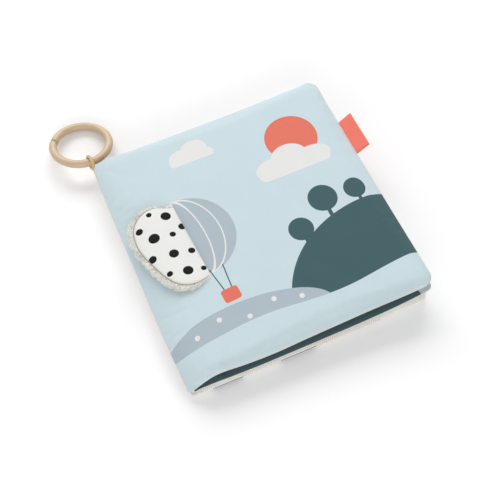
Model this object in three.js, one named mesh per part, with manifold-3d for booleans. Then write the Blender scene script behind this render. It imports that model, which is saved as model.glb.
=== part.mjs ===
// A soft cloth book for tummy time: three padded leaves sewn together along the spine, a lift-up
// flap with a plush back, a folded ribbon tag and a split teething ring on a cord loop.
// Millimetres, +Z up. The origin is at the middle of the back leaf's flat underside, +X runs from
// the spine to the fore edge and +Y from the bottom edge of the book to its top edge.
import * as THREE from 'three';
import { mergeVertices } from 'three/addons/utils/BufferGeometryUtils.js';
import Module from 'manifold-3d';

const wasm = await Module();
wasm.setup();

// Sizes of the leaves
const leafWidth = 220;            // from the spine to the fore edge
const leafDepth = 229;            // from the bottom edge to the top edge
const backOverhang = 1.0;         // the back leaf reaches this much further at the top and bottom
const foreCornerRadius = 10;
const spineCornerRadius = 5;
const coverSpineCornerRadius = 3.4;
const drawIn = 0.4;               // how far the stuffing draws each free side in at its middle
const clothThickness = 0.8;       // cotton with its backing
const clearance = 0.3;            // between pieces that lie on each other
const hemHalf = 1.25;             // half the thickness of a leaf beside its seam
const hemWidth = 1.2;             // from the seam to where that thickness is reached
const rimWidth = 26;              // over which a leaf swells from its seam to its full height
const rimRoundness = 2.2;         // the power of the curve of that swell
const leafGap = 0.4;              // between a leaf and the leaf under it
const paddingEdge = 0.5;          // thickness of the wadding at its own edge
const pillow = 1.2;               // extra height in the middle of the front cover
const flatBorder = 9;             // from the back leaf's seam to where its underside lies flat

// Heights above the table of each leaf's seam and of its upper face: at the two ends of the
// spine, past the shoulder beside the spine, and at the fore edge
const backSeam = { spineFoot: 3.8, spineHead: 4.0, shoulder: 4.2, fore: 4.6 };
const backCrest = { spineFoot: 5.2, spineHead: 7.0, shoulder: 8.3, fore: 9.4 };
const middleSeam = { spineFoot: 6.8, spineHead: 10.4, shoulder: 10.9, fore: 16.8 };
const middleCrest = { spineFoot: 8.2, spineHead: 13.4, shoulder: 15.7, fore: 22.3 };
const coverSeam = { spineFoot: 9.8, spineHead: 17.0, shoulder: 19.2, fore: 28.5 };
const coverCrest = { spineFoot: 12.8, spineHead: 20.4, shoulder: 24.8, fore: 33.5 };
const shoulderWidth = 30;         // from the spine to the shoulder

// Each leaf's foot, beside its top: how much further out it reaches, and how much its middle
// bulges out and its seam sags there
const backFoot = { reach: 2.0, bulge: 1.0, sag: 0 };
const middleFoot = { reach: 0, bulge: 2.7, sag: 2.5 };
const coverFoot = { reach: 0, bulge: 0.6, sag: 1.2 };
const footFadePower = 3;          // how soon that fades towards the middle of the leaf
const climbPower = 1.5;           // how the leaves fan open beyond the shoulder

// The crackling film in the front cover
const filmThickness = 0.4;

// The spine's sewing thread, which the leaves turn on
const threadDiameter = 1.2;       // doubled and waxed
const threadStop = 6;             // from each end of the spine to the end of the thread
const threadSides = 8;

// The lift-up flap
const flapHingeFromSpine = 50.6;  // at the middle of its sewn edge
const flapHingeUp = 3.3;          // the same point, above the middle of the cover
const flapHingeLength = 70.7;
const flapLeanDeg = 3.6;          // the top of the sewn edge leans towards the spine
const flapReach = 42;             // from the sewn edge to the far side of the cloth
const plushBorder = 5;            // the plush shows this much beyond the cloth
const flapLift = 3.4;             // the loose side stands off the cover
const flapClothThickness = 1.2;
const plushThickness = 3.6;
const plushEdge = 0.6;            // its thickness beside the sewn edge
const plushTaper = 20;            // from the sewn edge to where it has its full thickness
// The flap's outline from the top of its sewn edge round to the foot, as shares of its reach and
// of half the sewn edge's length
const flapOutlineShares = [
  [0.05, 1.06], [0.37, 1.18], [0.72, 1.06], [0.95, 0.76], [1.03, 0.3],
  [0.95, -0.22], [0.8, -0.74], [0.44, -1.1], [0.05, -1.04],
];
const flapRows = 16;
const flapColumns = 8;

// The folded ribbon tag in the cover's fore-edge seam
const tagWidth = 37;              // along the edge
const tagOut = 14.6;              // its length beyond the edge
const tagBend = 0.6;              // beyond the edge, where the ribbon turns up
const tagTiltDeg = 38;            // how steeply it stands up from there
const tagIn = 3.4;                // sewn in
const tagUp = 44;                 // its middle, above the middle of the cover
const ribbonThickness = 0.45;
const ribbonFoldGap = 0.3;
const tagSlotReach = 4.2;         // the opening left in the seam for the ribbon
const slotOverrun = 2;            // the slot's cutter runs past the edge

// The teething ring, tilted because the loop holds its near side up
const ringCentreRadius = 25.6;
const ringTubeRadius = 3.7;
const ringNormalTiltXDeg = 4.0;   // how far its axis leans towards the fore edge
const ringNormalTiltYDeg = 11.5;  // and towards the book's top edge
const ringFromSpine = -0.9;       // its middle beside the spine's line
const ringTubeBeyondTop = 6.6;    // its near side, beyond the book's top edge
const ringSplitDeg = 149.5;       // where the ring is split, counted from +X
const ringSplitGap = 0.5;
const ringSplitOffset = 0.3;      // each end springs this much in or out
const ringSpringDeg = 32;         // over this much of the ring
const ringSteps = 48;
const ringSides = 14;

// The cord loop that holds the ring
const cordDiameter = 2.4;
const loopRootBeyondTop = 1.6;   // middle of the cord where the loop meets the leaves
const loopRootHeight = 9.2;
const loopFromSpine = 0.2;
const loopRootShare = 0.5;        // how much narrower the loop is where its ends come together
const ringPlay = 0.35;            // between the loop and the ring's tube
const loopSteps = 28;
const loopSides = 8;

// The ends of the loop's cord, sewn flat between the back and the middle leaf
const anchorHeight = 2.4;
const anchorWidth = 3;
const anchorFromSpine = 1.4;
const anchorLength = 5.4;
const anchorBeyondTop = 0.6;
const anchorSides = 10;

// Where the grid lines of a leaf lie: at its edge, at its hem and at these shares of its rim, then
// in even steps between them. The layers inside a leaf start further in and share the other lines
const rimStepShares = [0.15, 0.35, 0.65, 1.08];
const edgeSteps = [0, hemWidth, ...rimStepShares.map((share) => share * rimWidth)];
const paddingSteps = edgeSteps.slice(2);
const filmSteps = edgeSteps.slice(3);
const middleCells = 5;

const spineX = -leafWidth / 2;
const foreX = leafWidth / 2;
const topY = leafDepth / 2;

// Grid lines across a length, close together at both edges, as distances from the first edge
function gridLines(length, steps) {
  const last = steps[steps.length - 1];
  const inner = [];
  for (let k = 1; k < middleCells; k += 1) {
    inner.push(last + (length - 2 * last) * k / middleCells);
  }
  const mirrored = steps.map((step) => length - step).reverse();
  return [...steps, ...inner, ...mirrored];
}

// One leaf's own depth, seam and the faces it lies between
const backLeaf = {
  depth: leafDepth + 2 * backOverhang, seam: backSeam, crest: backCrest, foot: backFoot,
  spineCorner: spineCornerRadius,
};
const middleLeaf = {
  depth: leafDepth, seam: middleSeam, crest: middleCrest, foot: middleFoot, under: backCrest,
  spineCorner: spineCornerRadius,
};
const coverLeaf = {
  depth: leafDepth, seam: coverSeam, crest: coverCrest, foot: coverFoot, under: middleCrest,
  spineCorner: coverSpineCornerRadius,
};

// A height at a place on the book, from its values at the spine, the shoulder and the fore edge
function heightAt(heights, x, y) {
  const fromSpine = Math.max(0, x - spineX);
  const along = THREE.MathUtils.clamp(y / leafDepth + 1 / 2, 0, 1);
  const spine = THREE.MathUtils.lerp(heights.spineFoot, heights.spineHead, along);
  const rise = 1 - (1 - Math.min(1, fromSpine / shoulderWidth)) ** 2;
  const climb = Math.min(1, fromSpine / leafWidth) ** climbPower;
  return spine + (heights.shoulder - spine) * rise + (heights.fore - heights.shoulder) * climb;
}

// The extra crown in the middle of the front cover
function pillowAt(x, y) {
  const across = 1 - (2 * x / leafWidth) ** 2;
  const along = 1 - (2 * y / leafDepth) ** 2;
  return pillow * Math.max(0, across) * Math.max(0, along);
}

// How far a leaf has swollen at a distance from one of its edges, from 0 to 1
function swell(distance, width) {
  const left = 1 - Math.min(1, Math.max(0, distance) / width);
  return (1 - left ** rimRoundness) ** (1 / rimRoundness);
}

// From nothing at the middle of a leaf to 1 at its foot, where along runs from -1 to 1
function towardsFoot(along) {
  return THREE.MathUtils.clamp(-along, 0, 1) ** footFadePower;
}

// The height of a leaf's seam
function seamAt(leaf, x, y) {
  const middle = Math.max(0, 1 - (x / foreX) ** 2);
  return heightAt(leaf.seam, x, y) - leaf.foot.sag * middle * towardsFoot(y / topY);
}

// Where a grid point lies on a leaf drawn in by an inset all round, with its corners rounded at
// the fore edge and its free sides drawn in
function placeOnLeaf(leaf, fromSpine, fromFoot, inset) {
  const halfWidth = leafWidth / 2 - inset;
  const halfDepth = leaf.depth / 2 - inset;
  const across = 2 * fromSpine / leafWidth - 1;
  const along = 2 * fromFoot / leaf.depth - 1;
  let x = across * halfWidth;
  let y = along * halfDepth;
  const radius = across > 0 ? foreCornerRadius : leaf.spineCorner;
  const cornerX = Math.abs(x) - (halfWidth - radius);
  const cornerY = Math.abs(y) - (halfDepth - radius);
  if (cornerX > 0 && cornerY > 0) {
    const pull = Math.max(cornerX, cornerY) / Math.hypot(cornerX, cornerY);
    x = Math.sign(x) * (halfWidth - radius + cornerX * pull);
    y = Math.sign(y) * (halfDepth - radius + cornerY * pull);
  }
  if (across > 0) x -= drawIn * (1 - along ** 2) * across ** 3;
  y -= drawIn * (1 - across ** 2) * along ** 3;
  y -= (leaf.foot.reach + leaf.foot.bulge * (1 - across ** 2)) * towardsFoot(along);
  return { x, y };
}

// The share of a leaf's full swell at a grid point, nothing at the seam
function swellAt(leaf, fromSpine, fromFoot, width = rimWidth) {
  const toEdgeX = Math.min(fromSpine, leafWidth - fromSpine) - hemWidth;
  const toEdgeY = Math.min(fromFoot, leaf.depth - fromFoot) - hemWidth;
  return swell(toEdgeX, width) * swell(toEdgeY, width);
}

// The leaf's upper face and lower face at a grid point, without the seam's own gap
function upperFace(leaf, fromSpine, fromFoot, x, y) {
  const seam = seamAt(leaf, x, y);
  const extra = leaf === coverLeaf ? pillowAt(x, y) : 0;
  const full = heightAt(leaf.crest, x, y) + extra - seam - hemHalf;
  return seam + hemHalf + full * swellAt(leaf, fromSpine, fromFoot);
}

function lowerFace(leaf, fromSpine, fromFoot, x, y) {
  const seam = seamAt(leaf, x, y);
  if (leaf === backLeaf) {
    return (seam - hemHalf) * (1 - swellAt(leaf, fromSpine, fromFoot, flatBorder));
  }
  const full = seam - hemHalf - heightAt(leaf.under, x, y) - leafGap;
  return seam - hemHalf - full * swellAt(leaf, fromSpine, fromFoot);
}

// A closed solid between two grids of points: an upper face, a lower face and a wall round them
function solidBetween(columns, rows, upperPoint, lowerPoint) {
  const positions = [];
  const index = [];
  const perFace = (columns + 1) * (rows + 1);
  for (const pointAt of [upperPoint, lowerPoint]) {
    for (let row = 0; row <= rows; row += 1) {
      for (let column = 0; column <= columns; column += 1) {
        positions.push(...pointAt(column, row));
      }
    }
  }
  const at = (column, row) => row * (columns + 1) + column;
  for (let row = 0; row < rows; row += 1) {
    for (let column = 0; column < columns; column += 1) {
      const a = at(column, row);
      const b = at(column + 1, row);
      const c = at(column + 1, row + 1);
      const d = at(column, row + 1);
      index.push(a, b, c, a, c, d);
      index.push(perFace + a, perFace + c, perFace + b, perFace + a, perFace + d, perFace + c);
    }
  }
  const wall = (from, to) => {
    index.push(from, perFace + from, perFace + to, from, perFace + to, to);
  };
  for (let column = 0; column < columns; column += 1) {
    wall(at(column, 0), at(column + 1, 0));
    wall(at(column + 1, rows), at(column, rows));
  }
  for (let row = 0; row < rows; row += 1) {
    wall(at(columns, row), at(columns, row + 1));
    wall(at(0, row + 1), at(0, row));
  }
  const geometry = new THREE.BufferGeometry();
  geometry.setAttribute('position', new THREE.Float32BufferAttribute(positions, 3));
  geometry.setIndex(index);
  return geometry;
}

// A layer of a leaf between an upper and a lower side. Each side has its inset, the height of its
// face and, where the layer ends at the seam, the height of its edge
function leafLayer(leaf, steps, upper, lower) {
  const acrossLines = gridLines(leafWidth, steps);
  const alongLines = gridLines(leaf.depth, steps);
  const columns = acrossLines.length - 1;
  const rows = alongLines.length - 1;
  const point = (side) => (column, row) => {
    const fromSpine = acrossLines[column];
    const fromFoot = alongLines[row];
    const { x, y } = placeOnLeaf(leaf, fromSpine, fromFoot, side.inset);
    const atEdge = column === 0 || row === 0 || column === columns || row === rows;
    const height = atEdge && side.edge ? side.edge(x, y) : side.face(fromSpine, fromFoot, x, y);
    return [x, y, height];
  };
  return solidBetween(columns, rows, point(upper), point(lower));
}

// The upper cloth of a leaf: its outside follows the leaf and its inside lies one cloth deeper
function upperCloth(leaf) {
  const edge = (x, y) => seamAt(leaf, x, y) + clearance / 2;
  const outside = (...place) => upperFace(leaf, ...place);
  const inside = (...place) => upperFace(leaf, ...place) - clothThickness;
  return leafLayer(
    leaf,
    edgeSteps,
    { inset: 0, face: outside, edge },
    { inset: clothThickness, face: inside, edge },
  );
}

function lowerCloth(leaf) {
  const edge = (x, y) => seamAt(leaf, x, y) - clearance / 2;
  const outside = (...place) => lowerFace(leaf, ...place);
  const inside = (...place) => lowerFace(leaf, ...place) + clothThickness;
  return leafLayer(
    leaf,
    edgeSteps,
    { inset: clothThickness, face: inside, edge },
    { inset: 0, face: outside, edge },
  );
}

// The wadding of a leaf, resting above whatever lies on the lower cloth
function padding(leaf, spaceBelow) {
  const skin = clothThickness + clearance;
  const edgeOf = (side) => (x, y) => seamAt(leaf, x, y) + side * paddingEdge / 2;
  const top = (...place) => upperFace(leaf, ...place) - skin;
  const foot = (...place) => lowerFace(leaf, ...place) + skin + spaceBelow;
  return leafLayer(
    leaf,
    paddingSteps,
    { inset: clothThickness, face: top, edge: edgeOf(1) },
    { inset: clothThickness, face: foot, edge: edgeOf(-1) },
  );
}

// The crackling film, between the wadding and the lower cloth
function film(leaf) {
  const skin = clothThickness + clearance;
  const foot = (...place) => lowerFace(leaf, ...place) + skin;
  const top = (...place) => foot(...place) + filmThickness;
  return leafLayer(
    leaf,
    filmSteps,
    { inset: clothThickness, face: top },
    { inset: clothThickness, face: foot },
  );
}

// A tube along a curve that closes on itself
function closedTube(centreAt, radius, steps, sides) {
  const positions = [];
  const index = [];
  const out = new THREE.Vector3();
  const up = new THREE.Vector3();
  const stepOn = 1 / (steps * sides);
  for (let step = 0; step < steps; step += 1) {
    const centre = centreAt(step / steps);
    const along = centreAt(step / steps + stepOn).sub(centreAt(step / steps - stepOn)).normalize();
    up.set(1, 0, 0);
    out.crossVectors(up, along).normalize();
    for (let side = 0; side < sides; side += 1) {
      const angle = 2 * Math.PI * side / sides;
      const point = centre.clone();
      point.addScaledVector(out, radius * Math.cos(angle));
      point.addScaledVector(up, radius * Math.sin(angle));
      positions.push(point.x, point.y, point.z);
    }
  }
  for (let step = 0; step < steps; step += 1) {
    for (let side = 0; side < sides; side += 1) {
      const a = step * sides + side;
      const b = step * sides + (side + 1) % sides;
      const c = ((step + 1) % steps) * sides + (side + 1) % sides;
      const d = ((step + 1) % steps) * sides + side;
      index.push(a, b, c, a, c, d);
    }
  }
  const geometry = new THREE.BufferGeometry();
  geometry.setAttribute('position', new THREE.Float32BufferAttribute(positions, 3));
  geometry.setIndex(index);
  return geometry;
}

// Cuts one closed geometry out of another
function toManifold(geometry) {
  const clean = geometry.clone();
  clean.deleteAttribute('normal');
  clean.deleteAttribute('uv');
  const merged = mergeVertices(clean);
  return new wasm.Manifold(new wasm.Mesh({
    numProp: 3,
    vertProperties: new Float32Array(merged.attributes.position.array),
    triVerts: new Uint32Array(merged.index.array),
  }));
}

function cut(geometry, cutter) {
  const mesh = toManifold(geometry).subtract(toManifold(cutter)).getMesh();
  const result = new THREE.BufferGeometry();
  result.setAttribute('position', new THREE.Float32BufferAttribute(mesh.vertProperties, 3));
  result.setIndex(Array.from(mesh.triVerts));
  return result;
}

const book = new THREE.Group();

// Each piece is its own named mesh
function add(name, geometry, color, roughness = 0.9) {
  const material = new THREE.MeshStandardMaterial({ color, roughness, metalness: 0 });
  const mesh = new THREE.Mesh(geometry, material);
  mesh.name = name;
  book.add(mesh);
  return mesh;
}

const skyBlue = '#cadde2';
const cream = '#dedcd6';
const deepTeal = '#496066';
const wadding = '#f2f2ef';
const white = '#ececea';
const plush = '#c9c7be';
const coral = '#ff7a66';
const beech = '#cdb191';
const golden = '#d9ba8a';
const filmGrey = '#d5dadd';

// The back leaf lies on the table
add('back_outer_cloth', lowerCloth(backLeaf), cream);
add('back_padding', padding(backLeaf, 0), wadding);
add('back_inner_cloth', upperCloth(backLeaf), cream);

// The middle leaf
add('middle_lower_cloth', lowerCloth(middleLeaf), cream);
add('middle_padding', padding(middleLeaf, 0), wadding);
add('middle_upper_cloth', upperCloth(middleLeaf), deepTeal);

// The front cover, with a slot left in its fore-edge seam for the tag
const tagHeight = heightAt(coverSeam, foreX, tagUp);
const tagHalfHeight = ribbonThickness + ribbonFoldGap / 2;
const tagSlot = new THREE.BoxGeometry(
  tagSlotReach + slotOverrun,
  tagWidth + 2 * clearance,
  2 * (tagHalfHeight + clearance),
);
tagSlot.translate(foreX + (slotOverrun - tagSlotReach) / 2, tagUp, tagHeight);
add('cover_inner_cloth', cut(lowerCloth(coverLeaf), tagSlot), cream);
add('cover_crinkle_film', film(coverLeaf), filmGrey, 0.4);
add('cover_padding', padding(coverLeaf, filmThickness + clearance), wadding);
add('cover_outer_cloth', cut(upperCloth(coverLeaf), tagSlot), skyBlue);

// The tag: a ribbon folded back on itself, its two ends sewn into the seam. It turns up just
// beyond the edge. Each of its faces lies at its own offset from the ribbon's middle
function tagProfile() {
  const profile = new THREE.Shape();
  const outerRadius = tagHalfHeight;
  const innerRadius = ribbonFoldGap / 2;
  const rootX = foreX - tagIn;
  const bendX = foreX + tagBend;
  const tilt = THREE.MathUtils.degToRad(tagTiltDeg);
  const straight = tagOut - tagBend - outerRadius;
  const foldX = bendX + straight * Math.cos(tilt);
  const foldZ = straight * Math.sin(tilt);
  const bendAt = (offset) => bendX - offset * Math.tan(tilt / 2);
  const foldAt = (offset) => [foldX - offset * Math.sin(tilt), foldZ + offset * Math.cos(tilt)];
  const under = tilt - Math.PI / 2;
  const over = tilt + Math.PI / 2;
  profile.moveTo(rootX, -outerRadius);
  profile.lineTo(bendAt(-outerRadius), -outerRadius);
  profile.lineTo(...foldAt(-outerRadius));
  profile.absarc(foldX, foldZ, outerRadius, under, over, false);
  profile.lineTo(bendAt(outerRadius), outerRadius);
  profile.lineTo(rootX, outerRadius);
  profile.lineTo(rootX, innerRadius);
  profile.lineTo(bendAt(innerRadius), innerRadius);
  profile.lineTo(...foldAt(innerRadius));
  profile.absarc(foldX, foldZ, innerRadius, over, under, true);
  profile.lineTo(bendAt(-innerRadius), -innerRadius);
  profile.lineTo(rootX, -innerRadius);
  profile.closePath();
  return profile;
}
const tagGeometry = new THREE.ExtrudeGeometry(tagProfile(), {
  depth: tagWidth,
  steps: 1,
  curveSegments: 6,
  bevelEnabled: false,
});
tagGeometry.rotateX(Math.PI / 2);
tagGeometry.translate(0, tagUp + tagWidth / 2, tagHeight);
add('tag_ribbon', tagGeometry, coral, 0.7);

// The sewing thread between two leaves, on the line that the upper one turns on
function spineThread(lowerHeights, upperHeights) {
  const foot = -leafDepth / 2;
  const heightOf = (y) => (
    (heightAt(lowerHeights, spineX, y) + heightAt(upperHeights, spineX, y)) / 2
  );
  const start = new THREE.Vector3(spineX, foot + threadStop, heightOf(foot + threadStop));
  const end = new THREE.Vector3(spineX, topY - threadStop, heightOf(topY - threadStop));
  const direction = end.clone().sub(start);
  const radius = threadDiameter / 2;
  const geometry = new THREE.CylinderGeometry(radius, radius, direction.length(), threadSides);
  const turn = new THREE.Quaternion().setFromUnitVectors(
    new THREE.Vector3(0, 1, 0),
    direction.clone().normalize(),
  );
  geometry.applyQuaternion(turn);
  const middle = start.add(end).multiplyScalar(1 / 2);
  geometry.translate(middle.x, middle.y, middle.z);
  return geometry;
}
add('spine_thread_lower', spineThread(backSeam, middleSeam), cream);
add('spine_thread_upper', spineThread(middleSeam, coverSeam), cream);

// The cover's upper face at any place, with distances taken from its own edges
function coverTop(x, y) {
  return upperFace(coverLeaf, x - spineX, y + leafDepth / 2, x, y);
}

// The flap's own axes: along its sewn edge, and from that edge towards the spine
const flapLean = THREE.MathUtils.degToRad(flapLeanDeg);
const flapAlong = new THREE.Vector2(-Math.sin(flapLean), Math.cos(flapLean));
const flapAcross = new THREE.Vector2(-Math.cos(flapLean), -Math.sin(flapLean));
const flapMiddle = new THREE.Vector2(spineX + flapHingeFromSpine, flapHingeUp);

// The flap's outline, grown by a border away from the sewn edge
function flapOutline(border) {
  const points = flapOutlineShares.map(([reachShare, alongShare]) => {
    const reach = reachShare * (flapReach + border);
    const along = alongShare * (flapHingeLength / 2 + border * reachShare);
    return new THREE.Vector2(reach, along);
  });
  return new THREE.SplineCurve(points);
}

// A layer of the flap between two heights over the cover, which follow the way across it
function flapLayer(border, upperHeight, lowerHeight) {
  const outline = flapOutline(border);
  const point = (heightOver) => (column, row) => {
    const rim = outline.getPoint(1 - row / flapRows);
    const alongHinge = flapHingeLength * (row / flapRows - 1 / 2);
    const across = column / flapColumns;
    const reach = across * rim.x;
    const along = THREE.MathUtils.lerp(alongHinge, rim.y, across);
    const x = flapMiddle.x + flapAcross.x * reach + flapAlong.x * along;
    const y = flapMiddle.y + flapAcross.y * reach + flapAlong.y * along;
    const base = coverTop(Math.max(x, spineX), y) + clearance + flapLift * (reach / flapReach) ** 2;
    return [x, y, base + heightOver(reach)];
  };
  return solidBetween(flapColumns, flapRows, point(lowerHeight), point(upperHeight));
}

// The plush grows from a thin sewn edge to its full thickness
function plushTop(reach) {
  const full = Math.sin(Math.PI / 2 * Math.min(1, reach / plushTaper));
  return plushEdge + (plushThickness - plushEdge) * full;
}

function flapClothFoot(reach) {
  return plushTop(reach) + clearance;
}

function flapClothTop(reach) {
  return flapClothFoot(reach) + flapClothThickness;
}

add('flap_plush', flapLayer(plushBorder, plushTop, () => 0), plush, 1);
add('flap_cloth', flapLayer(0, flapClothTop, flapClothFoot), white);

// The ring's axis and middle: its near side stands over the loop and its far side on the table
const ringNormal = new THREE.Vector3(
  Math.sin(THREE.MathUtils.degToRad(ringNormalTiltXDeg)),
  Math.sin(THREE.MathUtils.degToRad(ringNormalTiltYDeg)),
  0,
);
ringNormal.z = Math.sqrt(1 - ringNormal.lengthSq());
const ringAcross = new THREE.Vector3().crossVectors(new THREE.Vector3(0, 1, 0), ringNormal).normalize();
const ringAway = new THREE.Vector3().crossVectors(ringNormal, ringAcross);
const ringDrop = Math.hypot(ringAcross.z, ringAway.z) * ringCentreRadius;
const ringCentre = new THREE.Vector3(
  spineX + ringFromSpine,
  topY + ringTubeBeyondTop + ringCentreRadius * ringAway.y,
  ringTubeRadius + ringDrop,
);

// The ring's centre line, which springs in at one side of the split and out at the other
class RingLine extends THREE.Curve {
  getPoint(share, target = new THREE.Vector3()) {
    const halfGap = ringSplitGap / 2 / ringCentreRadius;
    const start = THREE.MathUtils.degToRad(ringSplitDeg) + halfGap;
    const turn = 2 * (Math.PI - halfGap) * share;
    const spring = THREE.MathUtils.degToRad(ringSpringDeg);
    const nearStart = Math.max(0, 1 - turn / spring);
    const nearEnd = Math.max(0, 1 - (2 * (Math.PI - halfGap) - turn) / spring);
    const radius = ringCentreRadius + ringSplitOffset * (nearStart ** 2 - nearEnd ** 2);
    target.copy(ringCentre);
    target.addScaledVector(ringAcross, radius * Math.cos(start + turn));
    target.addScaledVector(ringAway, radius * Math.sin(start + turn));
    return target;
  }
}
const ringSection = new THREE.Shape();
ringSection.absarc(0, 0, ringTubeRadius, 0, 2 * Math.PI, false);
add('split_ring', new THREE.ExtrudeGeometry(ringSection, {
  steps: ringSteps,
  curveSegments: ringSides / 2,
  bevelEnabled: false,
  extrudePath: new RingLine(),
}), beech, 0.45);

// The loop: an oval of cord round the ring's tube, from the leaves' corner to inside the ring
const cordRadius = cordDiameter / 2;
const loopX = spineX + loopFromSpine;
const ringNear = ringCentre.clone().addScaledVector(ringAway, -ringCentreRadius);
const loopRoot = new THREE.Vector2(topY + loopRootBeyondTop, loopRootHeight);
const loopHalfWidth = ringTubeRadius + ringPlay + cordRadius;
const tubeSpot = new THREE.Vector2(ringNear.y, ringNear.z);
const loopDirection = tubeSpot.clone().sub(loopRoot).normalize();
const loopTip = tubeSpot.clone().addScaledVector(loopDirection, loopHalfWidth);
const loopMiddle = loopRoot.clone().add(loopTip).multiplyScalar(1 / 2);
const loopHalfLength = loopTip.distanceTo(loopRoot) / 2;

// The loop is round past the ring's tube, and narrows to the root on the other side
function loopPoint(share) {
  const angle = 2 * Math.PI * share;
  const towardsRoot = Math.max(0, -Math.cos(angle));
  const alongLoop = Math.cos(angle) * loopHalfLength;
  const acrossLoop = Math.sin(angle) * loopHalfWidth * (1 - loopRootShare * towardsRoot ** 2);
  return new THREE.Vector3(
    loopX,
    loopMiddle.x + loopDirection.x * alongLoop - loopDirection.y * acrossLoop,
    loopMiddle.y + loopDirection.y * alongLoop + loopDirection.x * acrossLoop,
  );
}
add('ring_loop', closedTube(loopPoint, cordRadius, loopSteps, loopSides), golden, 0.8);

// The cord's ends, pressed flat by the sewing
const anchorSection = new THREE.CylinderGeometry(1, 1, anchorLength, anchorSides);
anchorSection.scale(anchorWidth / 2, 1, anchorHeight / 2);
anchorSection.translate(
  spineX + anchorFromSpine,
  topY + anchorBeyondTop - anchorLength / 2,
  (heightAt(backSeam, spineX, topY) + heightAt(middleSeam, spineX, topY)) / 2,
);
add('loop_anchor', anchorSection, golden, 0.8);

export default book;
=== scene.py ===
# %% [markdown]
# # A soft cloth book for tummy time
# The real book is three padded cloth leaves, sewn together along one side. The front cover
# carries a lift-up flap with a plush back and a ribbon tag, and a teething ring hangs on a cord
# loop at the spine. This lesson dresses a imported CAD model of it, so the frame is loaded first:
# most pieces made here ride on one of its bodies, and each keeps to the place of the solid that
# it stands for.

# %% Load the frame
import math
import random
from functools import partialmethod

import bmesh
import bpy
from mathutils import Matrix, Vector, noise
from mathutils.bvhtree import BVHTree


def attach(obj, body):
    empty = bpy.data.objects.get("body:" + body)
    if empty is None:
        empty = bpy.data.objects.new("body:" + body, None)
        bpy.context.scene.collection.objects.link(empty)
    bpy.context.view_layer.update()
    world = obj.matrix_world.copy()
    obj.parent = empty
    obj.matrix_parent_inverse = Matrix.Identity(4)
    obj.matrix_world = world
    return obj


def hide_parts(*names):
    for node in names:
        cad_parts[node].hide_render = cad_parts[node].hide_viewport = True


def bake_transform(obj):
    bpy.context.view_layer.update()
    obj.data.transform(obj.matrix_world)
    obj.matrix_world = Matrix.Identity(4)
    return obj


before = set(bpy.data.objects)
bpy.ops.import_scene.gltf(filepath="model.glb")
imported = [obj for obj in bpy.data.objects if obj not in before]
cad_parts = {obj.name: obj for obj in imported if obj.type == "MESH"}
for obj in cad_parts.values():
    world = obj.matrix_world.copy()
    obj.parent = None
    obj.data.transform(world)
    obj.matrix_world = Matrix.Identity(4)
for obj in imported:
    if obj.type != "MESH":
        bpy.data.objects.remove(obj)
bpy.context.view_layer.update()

MM = 0.001

# %% [markdown]
# ## Camera
# A camera is a place, three directions and a focal length. Setting its matrix from the three
# directions is exact, while aiming it with a constraint would lose the slight roll that a camera
# held by hand has.

# %% Place the camera
camera_place = Vector((-0.1750, -0.3425, 0.6811))
camera_right = Vector((0.9149, -0.4034, 0.0122))
camera_up = Vector((0.3472, 0.8022, 0.4857))
camera_back = Vector((-0.2057, -0.4402, 0.8740))
focal_pixels, frame_pixels, sensor_mm = 883.2, 480, 36


def link(name, data):
    """Puts an object with this data into the scene."""
    made = bpy.data.objects.new(name, data)
    bpy.context.scene.collection.objects.link(made)
    return made


camera_data = bpy.data.cameras.new("camera")
camera_data.sensor_width = sensor_mm
camera_data.lens = sensor_mm * focal_pixels / frame_pixels
camera_data.clip_start = 0.01
camera = link("camera", camera_data)
turned = Matrix((camera_right, camera_up, camera_back)).transposed()
camera.matrix_world = Matrix.Translation(camera_place) @ turned.to_4x4()
bpy.context.scene.camera = camera
print(f"lens {camera_data.lens:.1f} mm")

# %% [markdown]
# ## The shape of a leaf
# A padded leaf is two sheets of cloth sewn together all round and filled with wadding. Its seam
# runs at one height, its upper face swells from there, and the leaves fan open from the spine to
# the fore edge. The numbers are in millimetres and repeat the CAD's own, because this script
# can't read its source. A leaf's four heights are those at the foot and head of the spine, past
# the shoulder and at the fore edge.

# %% Sizes of the leaves
def each(back, middle, cover):
    return {"back": back, "middle": middle, "cover": cover}


leaf_width, leaf_depth = 220.0, 229.0
spine_x, half_depth = -leaf_width / 2, leaf_depth / 2
overhang = each(1.0, 0.0, 0.0)
seam_heights = each((3.8, 4.0, 4.2, 4.6), (6.8, 10.4, 10.9, 16.8), (9.8, 17.0, 19.2, 28.5))
crest_heights = each((5.2, 7.0, 8.3, 9.4), (8.2, 13.4, 15.7, 22.3), (12.8, 20.4, 24.8, 33.5))
leaf_under = {"middle": "back", "cover": "middle"}
shoulder_width, climb_power = 30.0, 1.5
rim_width, rim_power = 26.0, 2.2
spine_roll = 13.0
flat_border, leaf_gap, pillow = 9.0, 0.5, 1.2
fore_corner, draw_in = 10.0, 0.4
fore_foot_corner = each(10.0, 5.0, 10.0)
head_corner = each(5.0, 5.0, 6.5)
foot_corner = each(3.5, 2.5, 1.4)
foot_reach = each(2.0, 0.0, 0.0)
foot_bulge = each(1.0, 3.0, 0.6)
foot_sag = each(0.0, 2.5, 1.2)
spine_tuck = each(1.3, 1.1, 0.0)
spine_bulge = each(0.0, 0.4, 1.8)
foot_wave = ((-82.0, 16.0, 1.4), (-34.0, 22.0, -0.8), (48.0, 30.0, 0.5))
fore_reach = each(0.0, 1.4, 1.0)
head_reach = each(0.0, 0.0, 1.3)
cover_rim = 12.0
seam_half = 0.5

# %% [markdown]
# Every height on a leaf follows from those sizes. The seam and the crest are two surfaces that
# climb to the fore edge, and the cloth goes from one to the other over the width of its rim.

# %% Heights of the cloth
def clamp(value, low=0.0, high=1.0):
    return max(low, min(high, value))


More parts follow.
